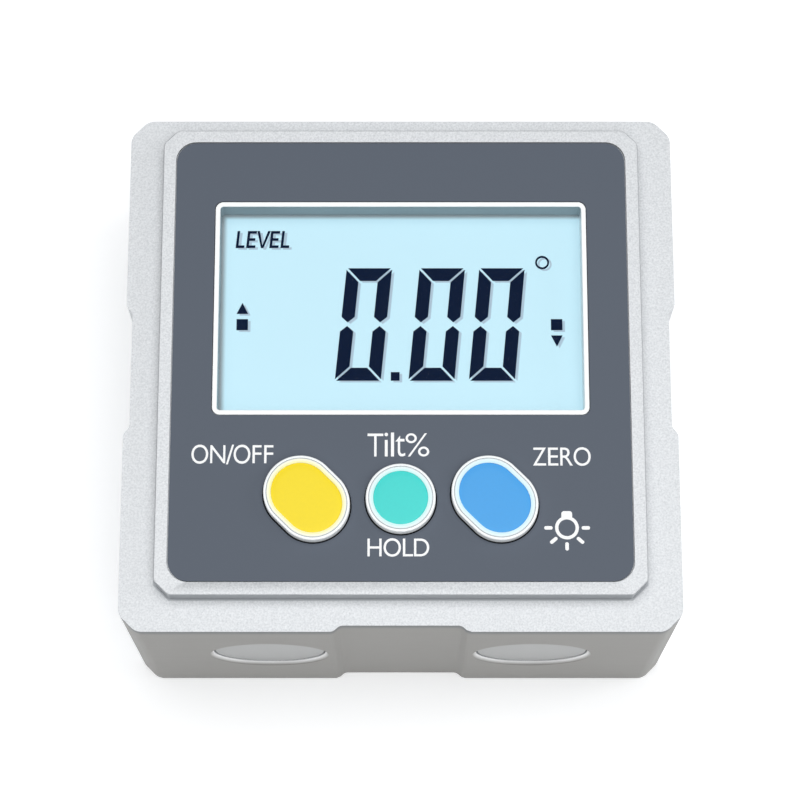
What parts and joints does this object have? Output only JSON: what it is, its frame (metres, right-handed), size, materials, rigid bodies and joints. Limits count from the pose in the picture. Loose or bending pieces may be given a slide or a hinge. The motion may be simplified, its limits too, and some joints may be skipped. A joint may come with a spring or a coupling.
{
  "type": "digital angle gauge",
  "caption": "Square pocket angle gauge: cast body with a raised display panel, lit segment display, coloured push buttons, magnetic base with recessed faces and a hinged battery door behind.",
  "frame": {"origin": "middle of the back face, on the plane that the gauge lies on", "axes": "+X to the right of the display, +Y towards the gauge's top edge, +Z out of the display; the magnetic base faces -Y"},
  "size_m": [0.054, 0.052, 0.029],
  "materials": {
    "cast_aluminium": "sandblasted, fine grain",
    "overlay_grey": "satin printed sheet",
    "white_plastic": "smooth moulded",
    "clear_acrylic": "polished",
    "lcd_pale": "lit display",
    "lcd_dark": "dark display figures",
    "frosted_acrylic": "frosted",
    "led_white": "moulded lamp",
    "pink_silicone": "matt",
    "board_green": "solder mask",
    "chip_black": "moulded package",
    "capacitor_tan": "matt",
    "switch_black": "moulded",
    "plunger_ivory": "moulded",
    "face_yellow": "smooth moulded",
    "face_green": "smooth moulded",
    "face_blue": "smooth moulded",
    "cover_black": "spark-eroded moulded texture",
    "cell_wrap": "printed sleeve",
    "plated_steel": "nickel plated",
    "screw_steel": "zinc plated",
    "magnet_nickel": "nickel plated"
  },
  "bodies": {
    "gauge": {"housing": "cast_aluminium", "front_overlay": "overlay_grey", "display_frame": "white_plastic", "display_lens": "clear_acrylic", "lcd_glass": "lcd_pale", "lcd_marks": "lcd_dark", "light_guide": "frosted_acrylic", "backlight_led": "led_white", "contact_strip": "pink_silicone", "main_board": "board_green", "controller_chip": "chip_black", "tilt_sensor": "chip_black", "chip_capacitors": "capacitor_tan", "switch_bodies": "switch_black", "back_cover": "cover_black", "upper_cell": "cell_wrap", "lower_cell": "cell_wrap", "positive_contact": "plated_steel", "negative_contact": "plated_steel", "link_contact": "plated_steel", "cover_screws": "screw_steel", "board_screws": "screw_steel", "left_magnet": "magnet_nickel", "right_magnet": "magnet_nickel"},
    "power_key": {"power_button": "white_plastic", "power_face": "face_yellow", "power_plunger": "plunger_ivory"},
    "hold_key": {"hold_button": "white_plastic", "hold_face": "face_green", "hold_plunger": "plunger_ivory"},
    "zero_key": {"zero_button": "white_plastic", "zero_face": "face_blue", "zero_plunger": "plunger_ivory"},
    "door": {"battery_door": "cover_black"}
  },
  "joints": [
    {"name": "power_press", "type": "slide", "parent": "gauge", "child": "power_key", "axis": [0, 0, -1], "range_m": [0, 0.0005], "stiffness_N_per_m": 2000},
    {"name": "hold_press", "type": "slide", "parent": "gauge", "child": "hold_key", "axis": [0, 0, -1], "range_m": [0, 0.0005], "stiffness_N_per_m": 2000},
    {"name": "zero_press", "type": "slide", "parent": "gauge", "child": "zero_key", "axis": [0, 0, -1], "range_m": [0, 0.0005], "stiffness_N_per_m": 2000},
    {"name": "door_hinge", "type": "hinge", "parent": "gauge", "child": "door", "pos_m": [0, 0.011, 0.0002], "axis": [1, 0, 0], "range_deg": [0, 80]}
  ]
}
